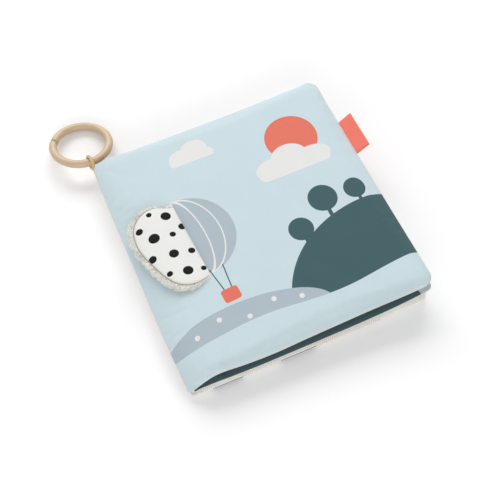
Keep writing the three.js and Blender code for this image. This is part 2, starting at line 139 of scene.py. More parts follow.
def height_at(heights, x, y):
    foot, head, shoulder, fore = heights
    from_spine = max(0.0, x - spine_x)
    at_spine = foot + (head - foot) * clamp(y / leaf_depth + 0.5)
    rise = 1 - (1 - min(1.0, from_spine / shoulder_width)) ** 2
    climb = min(1.0, from_spine / leaf_width) ** climb_power
    return at_spine + (shoulder - at_spine) * rise + (fore - shoulder) * climb


def towards_foot(along):
    return clamp(-along) ** 3


def seam_at(leaf, x, y):
    middle = max(0.0, 1 - (2 * x / leaf_width) ** 2)
    return (height_at(seam_heights[leaf], x, y)
            - foot_sag[leaf] * middle * towards_foot(y / half_depth))


def swell(distance, width):
    left = 1 - clamp(distance / width)
    return (1 - left ** rim_power) ** (1 / rim_power)


def roll(distance):
    """The cover's upper cloth rolls down to the spine in a curve of its own."""
    return 1 - (1 - clamp(distance / spine_roll)) ** 1.5


def upper_height(leaf, x, y, swollen):
    seam = seam_at(leaf, x, y)
    full = height_at(crest_heights[leaf], x, y) - seam
    if leaf == "cover":
        full += pillow * max(0, 1 - (2 * x / leaf_width) ** 2) * max(0, 1 - (y / half_depth) ** 2)
    return seam + seam_half + (full - seam_half) * swollen


def lower_height(leaf, x, y, swollen):
    seam = seam_at(leaf, x, y)
    if leaf == "back":
        return (seam - seam_half) * (1 - swollen)
    under = height_at(crest_heights[leaf_under[leaf]], x, y) + leaf_gap
    return seam - seam_half - (seam - seam_half - under) * swollen


# %% [markdown]
# ## Sewing a leaf
# A grid is drawn as a square and then laid on the leaf: its lines crowd together at the edges,
# where the cloth turns over, its corners are rounded and its sides drawn in by the stuffing. Two
# such sheets are joined by bridging their borders, and that narrow strip becomes the seam: it is
# cut into rows, which sink in between the two cloths and stand out again as the sewn lip.

# %% Lay a grid on a leaf
cells_across, cells_along = 96, 100
crowding = 1.32                   # how much the grid lines crowd towards the edges
pinch_reach, pinch_depth = 11.0, 0.42


def crowded(share):
    return math.copysign(1 - (1 - abs(share)) ** crowding, share)


def lay(leaf, across, along):
    half_leaf = half_depth + overhang[leaf]
    x, y = across * leaf_width / 2, along * half_leaf
    spine_corner = head_corner[leaf] if along > 0 else foot_corner[leaf]
    outer_corner = fore_corner if along > 0 else fore_foot_corner[leaf]
    radius = outer_corner if across > 0 else spine_corner
    corner_x = abs(x) - (leaf_width / 2 - radius)
    corner_y = abs(y) - (half_leaf - radius)
    if corner_x > 0 and corner_y > 0:
        pull = max(corner_x, corner_y) / math.hypot(corner_x, corner_y)
        x = math.copysign(leaf_width / 2 - radius + corner_x * pull, x)
        y = math.copysign(half_leaf - radius + corner_y * pull, y)
    if across > 0:
        x -= draw_in * (1 - along ** 2) * across ** 3
        x += fore_reach[leaf] * across ** 8
        y += head_reach[leaf] * across ** 2 * max(0.0, along) ** 8
    else:
        x += spine_tuck[leaf] * clamp(0.45 - 0.9 * along) * across ** 8
        x -= spine_bulge[leaf] * (1 - along ** 4) * across ** 8
    y -= draw_in * (1 - across ** 2) * along ** 3
    y -= (foot_reach[leaf] + foot_bulge[leaf] * (1 - across ** 4)) * towards_foot(along)
    if leaf == "cover":
        y += towards_foot(along) * sum(height * math.exp(-((x - middle) / width) ** 2)
                                       for middle, width, height in foot_wave)
    return x, y


def pinched(x, y, z):
    """The leaves are sewn flat together at the foot of the spine."""
    away = math.hypot(x - spine_x, y + half_depth) / pinch_reach
    return z * (1 - pinch_depth * math.exp(-away * away))


def lay_sheet(bm, leaf, side):
    made = bmesh.ops.create_grid(
        bm, x_segments=cells_across, y_segments=cells_along, size=1)["verts"]
    half_leaf = half_depth + overhang[leaf]
    for vert in made:
        across, along = crowded(clamp(vert.co.x, -1, 1)), crowded(clamp(vert.co.y, -1, 1))
        to_side = (1 - abs(across)) * leaf_width / 2
        to_end = (1 - abs(along)) * half_leaf
        width = flat_border if leaf == "back" and side < 0 else rim_width
        if leaf == "cover" and side > 0:
            width = cover_rim
        swollen = swell(to_side, width) * swell(to_end, width)
        if leaf == "cover" and side > 0 and across < 0:
            swollen = roll(to_side) * swell(to_end, width)
        x, y = lay(leaf, across, along)
        height = upper_height if side > 0 else lower_height
        z = pinched(x, y, height(leaf, x, y, swollen))
        vert.co = (x * MM, y * MM, z * MM)
    return made


# %% [markdown]
# A bmesh becomes a piece when its mesh is written and an object is linked for it. The printed
# cloths also need to know where each face lies on the cloth: their UV map is simply the view
# from straight above.

# %% Finish a piece
print_side = 0.25                 # the side of the square that the UV map covers, in metres


def lay_flat(bm):
    uv_map = bm.loops.layers.uv.new("flat")
    for face in bm.faces:
        for loop in face.loops:
            loop[uv_map].uv = (0.5 + loop.vert.co.x / print_side, 0.5 + loop.vert.co.y / print_side)


def add_piece(name, mesh, materials, smooth=True):
    if smooth:
        mesh.shade_smooth()
    for material in materials:
        mesh.materials.append(material)
    print(name, len(mesh.polygons), "faces")
    return link(name, mesh)


def finish_mesh(name, bm, materials, smooth=True):
    mesh = bpy.data.meshes.new(name)
    bm.to_mesh(mesh)
    bm.free()
    return add_piece(name, mesh, materials, smooth)


# %% [markdown]
# The seam's own rows follow from the bridge. Which way is inwards is read from each vertex's
# place: towards the middle of the leaf.

# %% Join two sheets at their seam
lip_out, groove_in = 0.15, 0.5


def sew_leaf(leaf, materials):
    bm = bmesh.new()
    for side in (1, -1):
        verts = lay_sheet(bm, leaf, side)
        faces = list({face for vert in verts for face in vert.link_faces})
        for face in faces:
            face.material_index = 0 if side > 0 else 1
        if side < 0:
            bmesh.ops.reverse_faces(bm, faces=faces)
    borders = [edge for edge in bm.edges if edge.is_boundary]
    strip = bmesh.ops.bridge_loops(bm, edges=borders)
    for face in strip["faces"]:
        face.material_index = 2
    upright = [edge for edge in strip["edges"]
               if len({v.co.z > pinned_height(leaf, v.co) for v in edge.verts}) == 2]
    bmesh.ops.subdivide_edges(bm, edges=upright, cuts=3, use_grid_fill=True)
    seam_verts = {v for face in bm.faces if face.material_index == 2 for v in face.verts}
    for vert in seam_verts:
        middle = pinned_height(leaf, vert.co)
        share = clamp((vert.co.z - middle) / (seam_half * MM), -1, 1)
        outward = Vector((vert.co.x, vert.co.y, 0)).normalized()
        if abs(share) < 0.1:
            vert.co += outward * lip_out * MM
        elif abs(share) < 0.9:
            vert.co -= outward * groove_in * MM
    bmesh.ops.recalc_face_normals(bm, faces=bm.faces)
    lay_flat(bm)
    bm.verts.index_update()
    sewn = [vert.index for vert in seam_verts]
    pad = finish_mesh(leaf + "_pad", bm, materials)
    pad.vertex_groups.new(name="sewn").add(sewn, 1.0, "REPLACE")
    return pad


def pinned_height(leaf, place):
    x, y = place.x / MM, place.y / MM
    return pinched(x, y, seam_at(leaf, x, y)) * MM


# %% [markdown]
# ## Puffing a leaf up
# Wadding pushes the cloth out between its seams, and because there is a little more cloth than
# the seam is long, it puckers along the edges. A cloth simulation finds those puckers by itself:
# the seam is pinned, the cloth is let grow slightly and a pressure fills it. What it moves is
# kept small, because a leaf lies close to its neighbour, and the result is written into the mesh.

# %% Puff with a cloth simulation
puff_frames = 20


def puff(pad, pressure, growth, reach_upper, reach_lower):
    scene = bpy.context.scene
    scene.frame_set(1)
    cloth = pad.modifiers.new("puff", "CLOTH")
    settings = cloth.settings
    settings.quality, settings.mass = 5, 0.1
    settings.tension_stiffness = settings.compression_stiffness = 12
    settings.shear_stiffness, settings.bending_stiffness = 6, 0.2
    settings.use_pressure = True
    settings.uniform_pressure_force = pressure
    settings.shrink_min = -growth
    settings.vertex_group_mass = "sewn"
    settings.effector_weights.gravity = 0
    cloth.collision_settings.use_collision = False
    cloth.point_cache.frame_start, cloth.point_cache.frame_end = 1, puff_frames
    for number in range(1, puff_frames + 1):
        scene.frame_set(number)
    puffed = pad.evaluated_get(bpy.context.evaluated_depsgraph_get()).to_mesh()
    places = [vert.co.copy() for vert in puffed.vertices]
    normals = [vert.normal.copy() for vert in pad.data.vertices]
    most = 0
    for vert, place, normal in zip(pad.data.vertices, places, normals):
        step = place - vert.co
        reach = (reach_upper if normal.z > -0.2 else reach_lower) * MM
        if step.length > 0:
            capped = reach * math.tanh(step.length / reach)
            most = max(most, capped)
            vert.co += step * (capped / step.length)
    pad.modifiers.remove(cloth)
    scene.frame_set(1)
    print(pad.name, f"puffed by up to {most / MM:.2f} mm")


# %% [markdown]
# A handled cover also has creases that come from use: a few soft diagonal ones across its face,
# and short puckers where the cloth is gathered into the seam. They are far smaller than the
# leaf's swelling, so they are added to the finished shape as small moves of its upper vertices.

# %% Wrinkle the cover
creases = (                       # from x, y to x, y, half width and depth, in millimetres
    (108, 24, 88, 27, 2.2, 0.7), (108, -6, 92, -2, 2.0, 0.5), (107, 70, 96, 66, 2.0, 0.4),
    (-60, 108, -84, 60, 6.0, 0.7), (-20, 106, -52, 62, 7.0, 0.6), (6, 104, -10, 78, 5.0, 0.4),
    (-100, 100, -84, 84, 3.0, 0.6), (30, -60, 60, -98, 6.0, 0.5), (-70, -104, -60, -84, 3.0, 0.6),
    (-30, -106, -24, -90, 2.6, 0.5), (20, -104, 24, -92, 2.4, 0.4), (70, -104, 66, -90, 2.6, 0.5),
    (-52, -36, -30, -52, 5.0, 0.5), (-108, 60, -96, 52, 2.6, 0.5))


def crease_depth(x, y):
    depth = 0
    for ax, ay, bx, by, width, deep in creases:
        long = math.hypot(bx - ax, by - ay)
        along = ((x - ax) * (bx - ax) + (y - ay) * (by - ay)) / long
        aside = ((y - ay) * (bx - ax) - (x - ax) * (by - ay)) / long
        fade = math.exp(-max(0, -along, along - long) / width) * (1 - 0.6 * clamp(along / long))
        depth += deep * fade * math.exp(-(aside / width) ** 2)
    return depth


pucker_start, pucker_fade, pucker_pitch = 3, 6, 3.5
unrest_across, unrest_along, unrest_depth = 26, 34, 0.4


def pucker_depth(x, y):
    """Short gathers along the fore edge and the foot, strongest just inside the seam."""
    gathers = 0
    for distance, place in ((leaf_width / 2 - x, y), (half_depth + y, x)):
        hump = clamp(distance / pucker_start) * math.exp(-distance / pucker_fade)
        gathers += hump * noise.noise(Vector((place / pucker_pitch, 7.3, 0.5)))
    return gathers


def wrinkle(pad):
    most = 0
    for vert in pad.data.vertices:
        if vert.normal.z > 0.2:
            x, y = vert.co.x / MM, vert.co.y / MM
            unrest = noise.noise(Vector((x / unrest_across, y / unrest_along, 2.0)))
            moved = unrest * unrest_depth - crease_depth(x, y) - pucker_depth(x, y)
            most = max(most, abs(moved))
            vert.co.z += moved * vert.normal.z * MM
    print(pad.name, f"wrinkled by up to {most:.2f} mm")


# %% [markdown]
# ## Colour as arithmetic
# A printed cloth could be painted on an image, but a picture blurs when the camera comes close.
# Here each printed shape is a formula for the distance to its edge, worked out by shader nodes
# from the leaf's UV map, so it is sharp at any size and stays on the cloth when a leaf turns.
# A small class lets such formulas be written as plain sums.

# %% Fields and shapes
def tint(text):
    parts = [int(text[k:k + 2], 16) / 255 for k in (1, 3, 5)]
    return tuple(p / 12.92 if p <= 0.04045 else ((p + 0.055) / 1.055) ** 2.4 for p in parts) + (1,)


def add_node(tree, kind, inputs=None, **settings):
    """Adds a node; an input may be a field, another node's socket or a plain value."""
    made = tree.nodes.new(kind)
    for key, value in settings.items():
        setattr(made, key, value)
    for key, value in (inputs or {}).items():
        value = getattr(value, "socket", value)
        if isinstance(value, bpy.types.NodeSocket):
            tree.links.new(value, made.inputs[key])
        else:
            made.inputs[key].default_value = value
    return made


class Field:
    """A number that varies over a surface."""

    def __init__(self, tree, socket):
        self.tree, self.socket = tree, socket

    def do(self, operation, *others):
        made = add_node(self.tree, "ShaderNodeMath", dict(enumerate((self, *others))),
                        operation=operation)
        return Field(self.tree, made.outputs[0])

    __add__, __sub__ = partialmethod(do, "ADD"), partialmethod(do, "SUBTRACT")
    __mul__, __truediv__ = partialmethod(do, "MULTIPLY"), partialmethod(do, "DIVIDE")
    __abs__, __neg__ = partialmethod(do, "ABSOLUTE"), partialmethod(do, "MULTIPLY", -1)


def length_of(a, b):
    return (a * a + b * b).do("SQRT")


def disc(x, y, middle_x, middle_y, radius):
    return length_of(x - middle_x, y - middle_y) - radius


def oval(x, y, middle_x, middle_y, half_x, half_y):
    return (length_of((x - middle_x) / half_x, (y - middle_y) / half_y) - 1) * min(half_x, half_y)


def block(x, y, middle_x, middle_y, half_x, half_y, corner):
    over_x = (abs(x - middle_x) - (half_x - corner)).do("MAXIMUM", 0)
    over_y = (abs(y - middle_y) - (half_y - corner)).do("MAXIMUM", 0)
    return length_of(over_x, over_y) - corner


def joined(first, *others):
    for shape in others:
        first = first.do("MINIMUM", shape)
    return first


def within(first, *others):
    for shape in others:
        first = first.do("MAXIMUM", shape)
    return first


# %% [markdown]
# Each material starts from the same few nodes: the place on the cloth in millimetres, the weave
# that its threads make, and a soft unevenness of the dye. The weave is two crossed waves; it
# lifts the surface in the bump, and as painted shade and highlight it darkens the valleys between
# the threads a little and lightens their tops.

# %% Start a cloth material
def start_material(name, roughness, sheen=0.0, sheen_roughness=0.5, specular=0.5):
    material = bpy.data.materials.new(name)
    material.use_nodes = True
    tree = material.node_tree
    shader = tree.nodes["Principled BSDF"]
    for socket, value in (("Roughness", roughness), ("Specular IOR Level", specular),
                          ("Sheen Weight", sheen), ("Sheen Roughness", sheen_roughness)):
        shader.inputs[socket].default_value = value
    return material, tree, shader


def two_fields(tree, place):
    """The first two coordinates of a place."""
    split = add_node(tree, "ShaderNodeSeparateXYZ", {0: place})
    return [Field(tree, split.outputs[k]) for k in (0, 1)]


def place_on_cloth(tree):
    """Millimetres across and along from the middle of the piece's UV square."""
    uv = add_node(tree, "ShaderNodeUVMap", uv_map="flat")
    return [(field - 0.5) * (print_side / MM) for field in two_fields(tree, uv.outputs[0])]


def noise_on(tree, x, y, size_mm, detail=2.0):
    """Soft noise between 0 and 1 whose blotches are about one size."""
    place = add_node(tree, "ShaderNodeCombineXYZ", {0: x, 1: y})
    blotches = add_node(
        tree, "ShaderNodeTexNoise", {"Vector": place.outputs[0], "Scale": 1 / size_mm,
                                     "Detail": detail})
    return Field(tree, blotches.outputs[0])


def noise_inside(tree, scale, detail=2.0):
    """Soft noise between 0 and 1 that fills space, so it needs no UV map."""
    spot = add_node(tree, "ShaderNodeTexCoord")
    made = add_node(tree, "ShaderNodeTexNoise", {"Vector": spot.outputs["Object"],
                                                 "Scale": scale, "Detail": detail})
    return Field(tree, made.outputs[0])


def weave_on(x, y, pitch):
    turn = 2 * math.pi / pitch
    return (x * turn).do("SINE") * (y * turn).do("SINE")


# %% [markdown]
# A printed shape is mixed over the cloth's ground where its distance is below zero, with a thin
# soft edge. The finished colour is then multiplied by a field near 1: the unevenness of the dye
# and the weave's painted shade. The same weave lifts the surface.

# %% Print and dye a cloth
print_edge = 0.22                 # how wide the edge of a printed shape is, in millimetres
slub_size, blotch_size = 1.6, 24.0
weave_shade, blotch_shade = 0.025, 0.035


def colour_over(tree, ground, shape, colour):
    """Prints a colour inside a shape, over what is already there."""
    ink = add_node(tree, "ShaderNodeMath", {0: 0.5, 1: shape / print_edge},
                   operation="SUBTRACT", use_clamp=True)
    mix = add_node(tree, "ShaderNodeMix", {0: ink.outputs[0], 6: ground, 7: colour},
                   data_type="RGBA")
    return mix.outputs[2]


def print_all(tree, x, y, ground, marks):
    """Prints each mark's colour in turn; a shape may also be a function of the place."""
    for shape, colour in marks:
        shape = shape(x, y) if callable(shape) else shape
        ground = colour_over(tree, ground, shape, colour)
    return ground


def shade_by(tree, colour, light):
    """Multiplies a colour by a field near 1."""
    colour = colour if isinstance(colour, bpy.types.NodeSocket) else colour[:3]
    scaled = add_node(tree, "ShaderNodeVectorMath", {0: colour, "Scale": light},
                      operation="SCALE")
    return scaled.outputs[0]


def dye(tree, shader, colour, light):
    tree.links.new(shade_by(tree, colour, light), shader.inputs["Base Color"])


def raise_surface(tree, shader, height, distance_mm):
    bump = add_node(tree, "ShaderNodeBump", {"Height": height, "Distance": distance_mm * MM,
                                             "Strength": 1.0})
    tree.links.new(bump.outputs[0], shader.inputs["Normal"])


def finish_cloth(tree, shader, x, y, colour, pitch=0.5, mottle=0.05, depth_mm=0.05):
    weave = weave_on(x, y, pitch)
    fine = noise_on(tree, x, y, slub_size, 3.0)
    broad = noise_on(tree, x, y, blotch_size, 1.0)
    # The weave's term is painted shade between the threads and painted highlight on them; the
    # noises are the dye's unevenness.
    light = weave * weave_shade + (fine - 0.5) * mottle + (broad - 0.5) * blotch_shade + 1.0
    dye(tree, shader, colour, light)
    raise_surface(tree, shader, weave * 0.5 + fine * 1.2, depth_mm)


# %% [markdown]
# ## The printed cloths
# The cover shows a calm picture in flat shapes: a balloon over hills at a lake, with a sun and
# clouds. The lift-up flap is the balloon's left half. The colours are those of the real book's
# family: pale blue, grey-blue, deep teal, coral and off-white.

# %% Colours of the prints
sky = tint("#cddfe5")
grey_blue = tint("#b1bec7")
deep_teal = tint("#395a5f")
# The middle leaf's deep teal, made darker than the cover's as painted shade of the gap under the
# cover.
teal_with_painted_shade = tint("#2f4b4f")
coral = tint("#e77662")
off_white = tint("#e9e9e8")
cream = tint("#f8f5ed")
ink_dark = tint("#2f2d38")
ink_black = tint("#171716")
spine_shade_width = 12            # how far from the spine the cover is painted a little darker, as shade where it rolls down, in millimetres

# %% Print the cover
def cover_print():
    material, tree, shader = start_material("cover_cloth", 0.85, sheen=0.06)
    x, y = place_on_cloth(tree)
    sun = disc(x, y, 62, 62, 24)
    cloud = within(joined(oval(x, y, 34, 38, 16, 11), oval(x, y, 52, 44, 17, 14),
                          oval(x, y, 72, 38, 17, 10), block(x, y, 53, 34, 34, 6, 6)),
                   -(y - 28))
    small_cloud = within(joined(oval(x, y, -34, 84, 13, 8), oval(x, y, -22, 88, 12, 10),
                                block(x, y, -27, 80, 21, 5, 5)), -(y - 76))
    lean = math.radians(3.6)
    from_hinge = (x + 59.4) * math.cos(lean) + (y - 3.3) * math.sin(lean)
    along_hinge = (y - 3.3) * math.cos(lean) - (x + 59.4) * math.sin(lean)
    balloon = within(oval(from_hinge, along_hinge, 0, 2, 40, 39), -from_hinge)
    gores = joined(*[abs(oval(from_hinge, along_hinge, 0, 2, wide, 39)) - 0.55
                     for wide in (14, 28)])
    ropes = within(
        joined(abs(from_hinge + along_hinge * 0.12 + 2.5) - 0.5,
               abs(from_hinge - along_hinge * 0.12 - 17.5) - 0.5),
        along_hinge + 33, -(along_hinge + 56))
    basket = block(from_hinge, along_hinge, 7.5, -61, 7.5, 6, 2.5)
    shore = -(y + 87 + (x * 0.045).do("SINE") * 2.5)
    near_hill = within(oval(x, y, -48, -96, 76, 30), shore)
    far_hill = within(oval(x, y, 92, -104, 100, 84), shore)
    trees = joined(disc(x, y, 30, -26, 11), disc(x, y, 60, -6, 13), disc(x, y, 90, -8, 10),
                   block(x, y, 30, -42, 1.6, 10, 1), block(x, y, 60, -24, 1.8, 12, 1),
                   block(x, y, 90, -22, 1.6, 10, 1))
    flowers = joined(*[disc(x, y, *spot, 2.2) for spot in
                       ((-88, -81), (-66, -74), (-42, -81), (-18, -75), (4, -82))])
    colour = print_all(tree, x, y, sky, (
        (sun, coral), (cloud, off_white), (small_cloud, off_white), (balloon, grey_blue),
        (within(gores, balloon), off_white), (ropes, deep_teal), (basket, coral),
        (joined(far_hill, trees), deep_teal), (near_hill, grey_blue), (flowers, off_white)))
    # Painted shade: the cover is up to 4% darker towards the spine, where its cloth rolls down.
    painted_spine_shade = ((x - spine_x) / spine_shade_width).do("MINIMUM", 1) * 0.04 + 0.96
    finish_cloth(tree, shader, x, y, shade_by(tree, colour, painted_spine_shade))
    return material


# %% [markdown]
# The inner faces are simpler: waves on the teal page, spots and stripes on the cream ones. They
# show when the leaves are turned.

# %% Inner prints
def page_print(name, ground, marks):
    material, tree, shader = start_material(name, 0.85, sheen=0.06)
    x, y = place_on_cloth(tree)
    finish_cloth(tree, shader, x, y, print_all(tree, x, y, ground, marks))
    return material


def spots(points):
    return lambda x, y: joined(*[disc(x, y, *point) for point in points])


def waves(height, rise, thick):
    return lambda x, y: abs(y - height - (x * 0.11).do("SINE") * rise) - thick


def corner_patch(x, y):
    return disc(x, y, 123.5, -101, 28)


def spine_strip(x, y):
    return x - spine_x - 5


teal_page = page_print("teal_page", teal_with_painted_shade, [
    (spine_strip, cream), (corner_patch, grey_blue), (waves(40, 7, 3), sky),
    (waves(10, 7, 3), off_white), (waves(-20, 7, 3), sky),
    (spots([(-60, 78, 9), (0, 84, 14), (58, 76, 9)]), coral)])
cream_page = page_print("cream_page", cream, [
    (spots([(-78, 70, 12), (-38, 92, 7), (4, 62, 15), (52, 88, 10), (88, 58, 7), (-64, 18, 8),
            (70, 6, 13), (-18, -6, 6)]), ink_dark),
    (waves(-62, 8, 4), coral)])
pale_page = page_print("pale_page", off_white, [
    (lambda x, y: oval(x, y, 0, -96, 120, 50), grey_blue), (spots([(-40, 40, 26)]), coral),
    (spots([(40, 30, 15), (62, 34, 19), (84, 28, 13)]), sky)])
# The seam strip's pale pinkish cloth, darkened as painted shade along the seam.
seam_cloth = page_print("seam_cloth", tint("#e3d6cf"), [])
foot_marks = [(lambda x, y: block(x, y, -77, -120, 13, 4.6, 0.3), ink_dark),
              (lambda x, y: block(x, y, -14, -120, 16, 4.2, 0.3), ink_dark)]
back_seam_cloth = page_print("back_seam_cloth", cream, foot_marks)
plain_back = page_print("plain_back", cream, foot_marks)
cover_cloth = cover_print()
print("materials:", len(bpy.data.materials))

# %% [markdown]
# ## The three leaves
# Each leaf stands for its layers in the CAD: the cloths, the wadding and, in the cover, the
# crackling film. The back leaf stays with its own body. Beside the spine the real cloth is sewn
# flat and folds.

# %% Make the leaves
puff_pressure, puff_growth = 40.0, 0.012

back_pad = sew_leaf("back", (cream_page, plain_back, back_seam_cloth))
puff(back_pad, puff_pressure, puff_growth, 0.5, 0.15)
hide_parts("back_outer_cloth", "back_padding", "back_inner_cloth")
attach(back_pad, "back_leaf")

middle_pad = sew_leaf("middle", (teal_page, pale_page, seam_cloth))
puff(middle_pad, puff_pressure, puff_growth, 0.5, 0.2)
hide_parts("middle_lower_cloth", "middle_padding", "middle_upper_cloth")

cover_pad = sew_leaf("cover", (cover_cloth, pale_page, seam_cloth))
puff(cover_pad, puff_pressure, puff_growth, 1.2, 0.2)
wrinkle(cover_pad)
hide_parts("cover_inner_cloth", "cover_crinkle_film", "cover_padding",
            "cover_outer_cloth")

for pad, below, own in ((middle_pad, "back_leaf", "middle_leaf"),
                        (cover_pad, "middle_leaf", "front_cover")):
    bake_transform(pad)
for pad in (back_pad, middle_pad, cover_pad):
    rounded = pad.modifiers.new("round", "SUBSURF")
    rounded.levels = rounded.render_levels = 1

# %% [markdown]
# ## Seats for what lies on the cover
# The flap has to sit on the cloth as it really lies after puffing, so its height is looked up by
# a ray from above rather than taken from the formula.

# %% Find the cover's surface
def surface_of(pad):
    bm = bmesh.new()
    bm.from_mesh(pad.data)
    tree = BVHTree.FromBMesh(bm)
    bm.free()
    return tree


cover_tree = surface_of(cover_pad)
ray_height = 0.2                  # well above the cover, in metres


def cover_height(x, y):
    hit = cover_tree.ray_cast(Vector((x * MM, y * MM, ray_height)), Vector((0, 0, -1)))[0]
    swollen = swell(x - spine_x, rim_width)
    return hit.z / MM if hit else upper_height("cover", x, y, swollen)


# %% [markdown]
# ## The lift-up flap
# The flap is two cloths sewn together: dotted cotton above and plush below, which shows as a
# shaggy border. Its straight side is sewn into the cover. Both layers are a grid between that
# straight side and the rounded outline, so the grid lines fan out the way cloth lies.

# %% The flap's outline
hinge_length, flap_reach, flap_lean = 70.7, 42.0, math.radians(3.6)
flap_middle = Vector((-59.4, 3.3))
flap_along = Vector((-math.sin(flap_lean), math.cos(flap_lean)))
flap_across = Vector((-math.cos(flap_lean), -math.sin(flap_lean)))
outline_shares = ((0.0, 0.97), (0.18, 1.03), (0.36, 1.12), (0.54, 1.125), (0.71, 1.065),
                  (0.85, 0.96), (0.95, 0.79), (1.0, 0.57), (1.015, 0.34), (0.99, 0.1),
                  (0.94, -0.13), (0.89, -0.36), (0.83, -0.58), (0.75, -0.8), (0.64, -0.985),
                  (0.5, -1.09), (0.33, -1.135), (0.17, -1.115), (0.01, -1.06))
flap_lift = 4.0


def curve_through(points, share):
    """A place along a smooth curve that passes through all the points."""
    at = share * (len(points) - 1)
    k = min(int(at), len(points) - 2)
    t = at - k
    p0, p1 = points[max(k - 1, 0)], points[k]
    p2, p3 = points[k + 1], points[min(k + 2, len(points) - 1)]
    return 0.5 * (2 * p1 + (p2 - p0) * t + (2 * p0 - 5 * p1 + 4 * p2 - p3) * t ** 2
                  + (3 * p1 - 3 * p2 + p3 - p0) * t ** 3)


def outline_at(share, border):
    """The flap's outline grown by a border."""
    return curve_through([Vector((reach * (flap_reach + border),
                                  along * (hinge_length / 2 + border
                                           * (max(reach, 0.65) if along > 0 else reach))))
                          for reach, along in outline_shares], share)


def flap_place(across, along, border):
    """A place on the flap: how far it is from its sewn side, and where it lies on the book."""
    rim = outline_at(1 - along, border)
    reach = across * rim.x
    side = (1 - across) * hinge_length * (along - 0.5) + across * rim.y
    spot = flap_middle + flap_across * reach + flap_along * side
    lift = flap_lift * (reach / flap_reach) ** 2
    return reach, Vector((spot.x, spot.y, cover_height(max(spot.x, spine_x + 1), spot.y) + lift))


plush_low, plush_rise, plush_run = 0.6, 3.0, 20


def plush_top(reach):
    """The plush is thin at the sewn side and reaches its full height a little way out."""
    return plush_low + plush_rise * math.sin(math.pi / 2 * clamp(reach / plush_run))


# %% [markdown]
# Both sheets of a layer come from one grid, drawn twice and bridged. Towards the rim the layer
# thins, as two cloths do where they are sewn.

# %% Make a flap layer
flap_cells_across, flap_cells_along = 30, 56


def flap_layer(name, border, upper, lower, materials):
    bm = bmesh.new()
    for side, height in ((1, upper), (-1, lower)):
        made = bmesh.ops.create_grid(
            bm, x_segments=flap_cells_across, y_segments=flap_cells_along, size=1)["verts"]
        for vert in made:
            across = clamp((vert.co.x + 1) / 2) ** 0.75
            along = clamp((vert.co.y + 1) / 2)
            along = 0.5 - 0.5 * math.cos(math.pi * along) * (0.9 + 0.1 * abs(2 * along - 1))
            reach, place = flap_place(across, along, border)
            to_rim = min(1 - across, 2 * along * 1.2 + 0.001, 2 * (1 - along) * 1.2 + 0.001)
            place.z += height(reach, to_rim)
            vert.co = place * MM
        if side < 0:
            bmesh.ops.reverse_faces(
                bm, faces=list({face for vert in made for face in vert.link_faces}))
    bmesh.ops.bridge_loops(bm, edges=[edge for edge in bm.edges if edge.is_boundary])
    bmesh.ops.recalc_face_normals(bm, faces=bm.faces)
    lay_flat(bm)
    return finish_mesh(name, bm, materials)


def rim_curve(to_rim, width=0.12):
    left = 1 - clamp(to_rim / width)
    return math.sqrt(max(0.0, 1 - left * left))


# %% [markdown]
# The cotton is smooth and its dots are printed, each a little wider than it is long. The plush
# is matt, and the shadows between its fibres break its colour up, so noise of two sizes paints
# that shade in. Its ground is darker than its fibres, as painted shade deep in the pile.

# %% Dotted cloth and plush
def dotted_print():
    material, tree, shader = start_material("dotted_cloth", 0.95, sheen=0.02, specular=0.25)
    x, y = place_on_cloth(tree)
    dots = [(-97, 26, 3.2), (-84, 37, 2.4), (-71, 31, 4.4), (-88, 14, 4.9), (-72, 12, 2.7),
            (-61.5, 17, 3.4), (-96, -3, 3.4), (-78, -6, 4.2), (-63, -8, 3.0), (-88, -22, 2.6),
            (-73, -25, 4.4), (-60, -27, 2.4)]
    colour = colour_over(tree, tint("#f2f2ee"),
                         joined(*[oval(x, y, a, b, r, r * 0.92) for a, b, r in dots]), ink_black)
    finish_cloth(tree, shader, x, y, colour, pitch=0.6, mottle=0.05, depth_mm=0.08)
    return material


def plush_material(name, light):
    material, tree, shader = start_material(name, 0.95, sheen=0.5, sheen_roughness=0.4)
    speckle, clumps = noise_inside(tree, 700.0), noise_inside(tree, 110.0, 1.0)
    # Painted shade: the two noises darken the colour between the fibres and their clumps.
    dye(tree, shader, light, speckle * 1.1 + clumps * 0.5 + 0.2)
    raise_surface(tree, shader, speckle, 0.6)
    return material


dotted_cloth = dotted_print()
# The plush's ground is darker than its fibres: painted shade deep in the pile.
plush_cloth = plush_material("plush_ground", tint("#d6d5cd"))
strand_cloth = plush_material("plush_strands", tint("#fffef8"))

plush_border = 3.4                # of the plush's ground; its fibres reach on
flap_plush = flap_layer(
    "flap_plush_pad", plush_border,
    lambda reach, to_rim: 0.3 + (plush_top(reach) - 0.2) * (0.35 + 0.65 * rim_curve(to_rim)),
    lambda reach, to_rim: 0.3 + 1.5 * clamp(reach / plush_run) * (1 - rim_curve(to_rim, 0.3)),
    (plush_cloth,))
flap_cloth = flap_layer(
    "flap_dotted_cloth", 0.0,
    lambda reach, to_rim: plush_top(reach) + 0.35 + 1.2 * rim_curve(to_rim, 0.2),
    lambda reach, to_rim: plush_top(reach) + 0.2, (dotted_cloth,))

# %% [markdown]
# Plush is thousands of short fibres. They could be hair particles, but those are lost in an
# export, so each fibre is a thin tapering curve with a bevel, and all are turned into one mesh.
# Threads and the cord are drawn in the same way.

# %% Draw fibres and threads
def draw_lines(name, half, lines, resolution=0, thinning=0.0):
    """A curve with one round line through each list of points."""
    curve = bpy.data.curves.new(name, "CURVE")
    curve.dimensions = "3D"
    curve.bevel_depth, curve.bevel_resolution = half * MM, resolution
    curve.use_fill_caps = True
    for points in lines:
        spline = curve.splines.new("POLY")
        spline.points.add(len(points) - 1)
        for k, point in enumerate(points):
            spline.points[k].co = (*(point * MM), 1)
            spline.points[k].radius = 1 - thinning * k / (len(points) - 1)
    return curve


